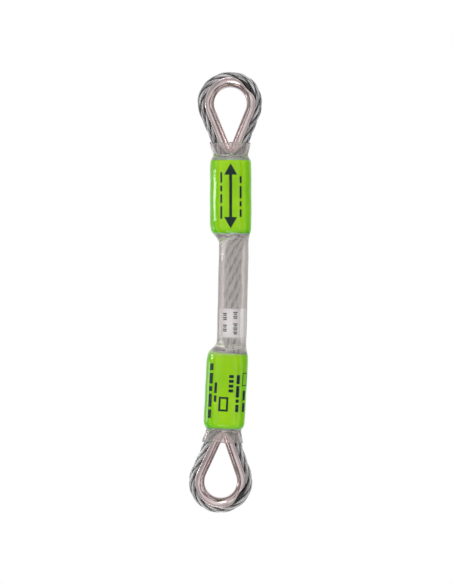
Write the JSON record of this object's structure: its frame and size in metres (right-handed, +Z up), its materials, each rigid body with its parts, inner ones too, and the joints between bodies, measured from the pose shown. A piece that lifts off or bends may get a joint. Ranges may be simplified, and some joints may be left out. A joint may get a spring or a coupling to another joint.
{
  "type": "wire rope sling",
  "caption": "Short steel wire rope sling with a thimble eye at each end, pressed ferrules under green labels and a clear heat-shrink sleeve.",
  "frame": {"origin": "centre of the upper eye's crown, midway through its thickness", "axes": "+Z up along the hanging sling, X across the eyes in their plane, Y through the eyes, front at -Y"},
  "size_m": [0.0352, 0.02, 0.2137],
  "materials": {
    "rope_wire": "galvanised",
    "thimble_steel": "polished",
    "ferrule_aluminium": "as pressed",
    "label_film": "printed film",
    "clear_sleeve": "clear, slightly milky",
    "tag_paper": "matt"
  },
  "bodies": {
    "upper_end": {"upper_thimble": "thimble_steel", "upper_ferrule": "ferrule_aluminium", "upper_label": "label_film", "upper_sleeve": "clear_sleeve", "upper_core_strand": "rope_wire", "upper_strand_1": "rope_wire", "upper_strand_2": "rope_wire", "upper_strand_3": "rope_wire", "upper_strand_4": "rope_wire", "upper_strand_5": "rope_wire", "upper_strand_6": "rope_wire"},
    "middle": {"middle_sleeve": "clear_sleeve", "serial_tag": "tag_paper", "middle_core_strand": "rope_wire", "middle_strand_1": "rope_wire", "middle_strand_2": "rope_wire", "middle_strand_3": "rope_wire", "middle_strand_4": "rope_wire", "middle_strand_5": "rope_wire", "middle_strand_6": "rope_wire"},
    "lower_end": {"lower_thimble": "thimble_steel", "lower_ferrule": "ferrule_aluminium", "lower_label": "label_film", "lower_sleeve": "clear_sleeve", "lower_core_strand": "rope_wire", "lower_strand_1": "rope_wire", "lower_strand_2": "rope_wire", "lower_strand_3": "rope_wire", "lower_strand_4": "rope_wire", "lower_strand_5": "rope_wire", "lower_strand_6": "rope_wire"}
  },
  "joints": [
    {"name": "bend_in_plane", "type": "hinge", "parent": "upper_end", "child": "middle", "pos_m": [0.00149, 0, -0.0785], "axis": [0, 1, 0], "range_deg": [-35, 35], "stiffness_Nm_per_rad": 4, "deforming": ["middle_sleeve", "serial_tag", "middle_core_strand", "middle_strand_1", "middle_strand_2", "middle_strand_3", "middle_strand_4", "middle_strand_5", "middle_strand_6"]},
    {"name": "bend_out_of_plane", "type": "hinge", "parent": "middle", "child": "lower_end", "pos_m": [0.00081, 0, -0.1055], "axis": [1, 0, 0], "range_deg": [-35, 35], "stiffness_Nm_per_rad": 4, "deforming": ["middle_sleeve", "serial_tag", "middle_core_strand", "middle_strand_1", "middle_strand_2", "middle_strand_3", "middle_strand_4", "middle_strand_5", "middle_strand_6"]}
  ]
}
